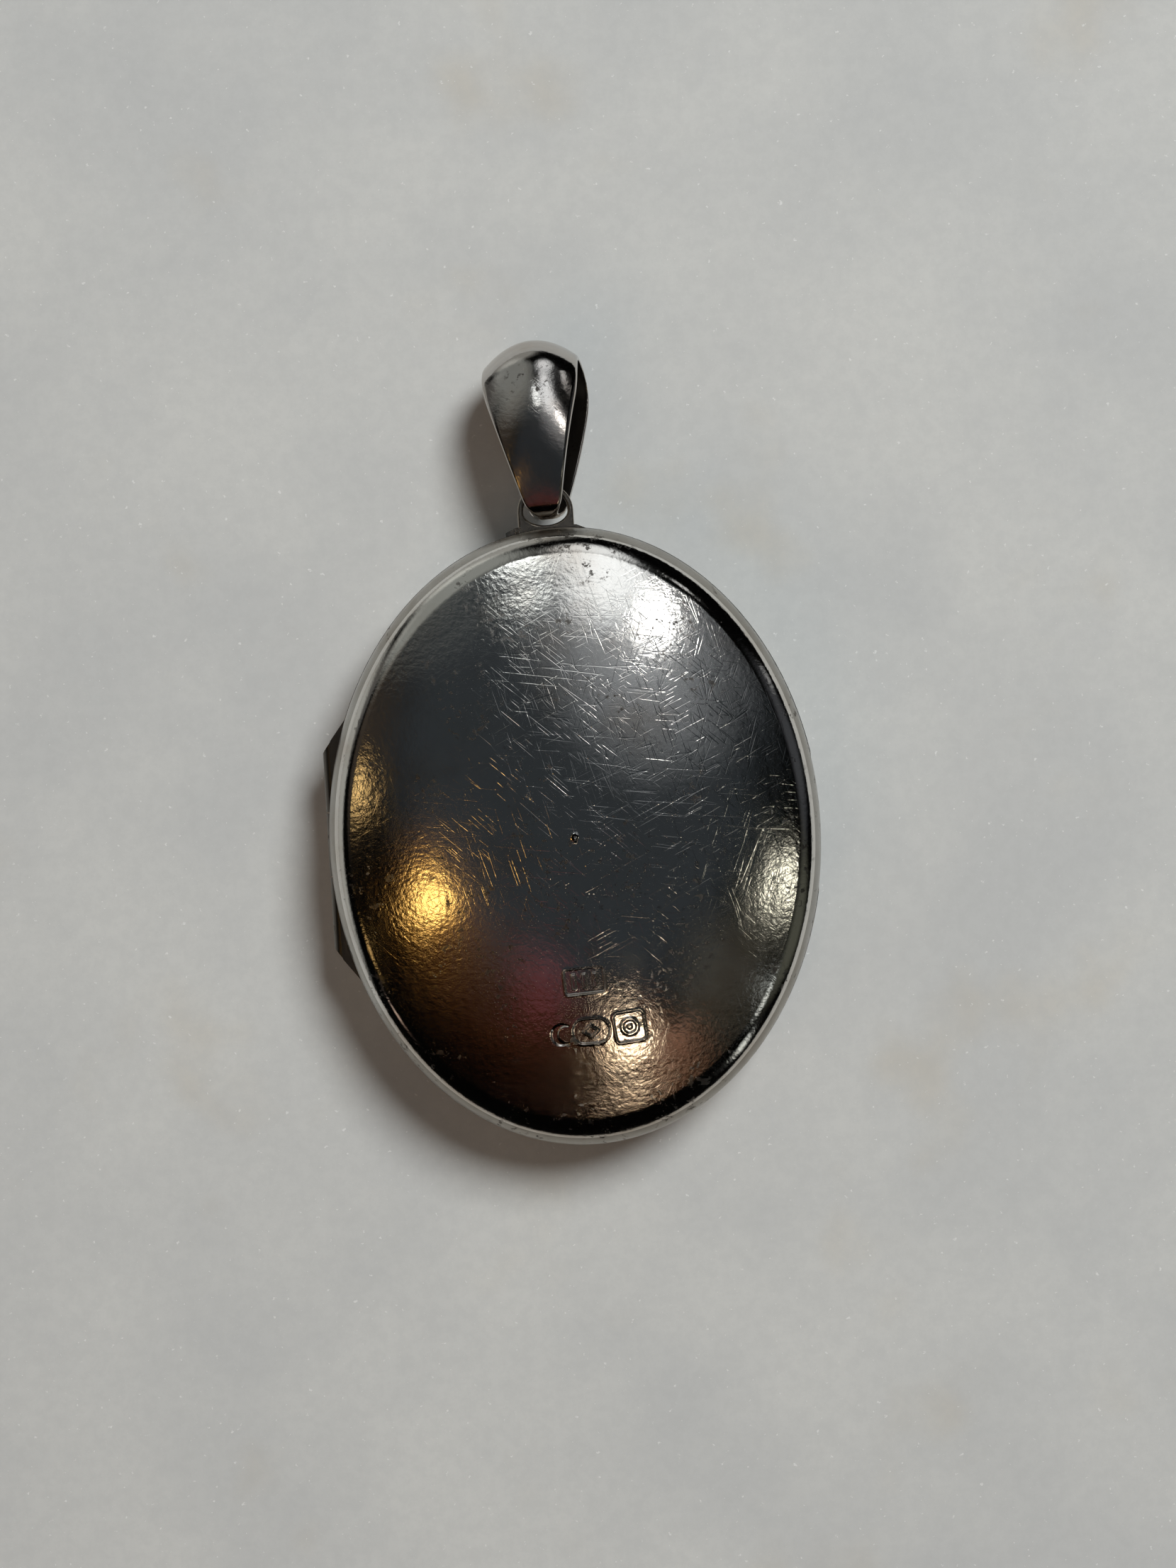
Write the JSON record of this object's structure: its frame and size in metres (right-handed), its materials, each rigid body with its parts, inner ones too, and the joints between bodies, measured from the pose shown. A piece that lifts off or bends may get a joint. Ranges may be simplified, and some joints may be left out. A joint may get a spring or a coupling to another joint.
{
  "type": "locket",
  "caption": "Oval silver locket with plain domed covers, a side hinge, a hanging loop and a long folded bail; opens to two glazed oval frames.",
  "frame": {"origin": "middle of the flat on the front cover, where the locket rests, midway along and across the case", "axes": "+Z out of the back cover, away from the table; +Y from the case towards the bail; +X away from the side hinge, which is on the -X side"},
  "size_m": [0.0352, 0.058, 0.01],
  "materials": {
    "silver": "worn polished silver, lightly tarnished",
    "bail_silver": "worn polished silver",
    "hinge_silver": "tarnished silver",
    "inner_silver": "dull tarnished silver",
    "gilt": "satin gilt",
    "pane": "clear polished glass",
    "card": "aged paper card",
    "pad": "felted backing",
    "pin_steel": "drawn wire"
  },
  "bodies": {
    "front_half": {"front_cover": "silver", "front_band": "silver", "closing_lip": "inner_silver", "front_tray": "inner_silver", "front_pad": "pad", "front_card": "card", "front_glass": "pane", "front_hinge_bearer_upper": "hinge_silver", "front_hinge_bearer_lower": "hinge_silver", "hinge_knuckle_upper": "hinge_silver", "hinge_knuckle_lower": "hinge_silver", "hinge_pin": "pin_steel"},
    "back_half": {"back_cover": "silver", "back_band": "silver", "back_tray": "inner_silver", "back_pad": "pad", "back_card": "card", "back_glass": "pane", "back_hinge_bearer_upper": "hinge_silver", "back_hinge_bearer_lower": "hinge_silver", "hinge_knuckle_middle": "hinge_silver", "loop_foot": "silver", "hanging_loop": "silver"},
    "bail": {"bail": "bail_silver"},
    "front_bezel": {"front_bezel": "gilt"},
    "back_bezel": {"back_bezel": "gilt"}
  },
  "joints": [
    {"name": "case_opening", "type": "hinge", "parent": "front_half", "child": "back_half", "pos_m": [-0.01715, 0, 0.005], "axis": [0, -1, 0], "range_deg": [0, 150]},
    {"name": "bail_swing", "type": "hinge", "parent": "back_half", "child": "bail", "pos_m": [-0.00072, 0.02504, 0.00565], "axis": [1, 0, 0], "range_deg": [-5, 30]},
    {"name": "front_bezel_lift", "type": "slide", "parent": "front_half", "child": "front_bezel", "axis": [0, 0, 1], "range_m": [0, 0.0008]},
    {"name": "back_bezel_lift", "type": "slide", "parent": "back_half", "child": "back_bezel", "axis": [0, 0, -1], "range_m": [0, 0.0008]}
  ]
}
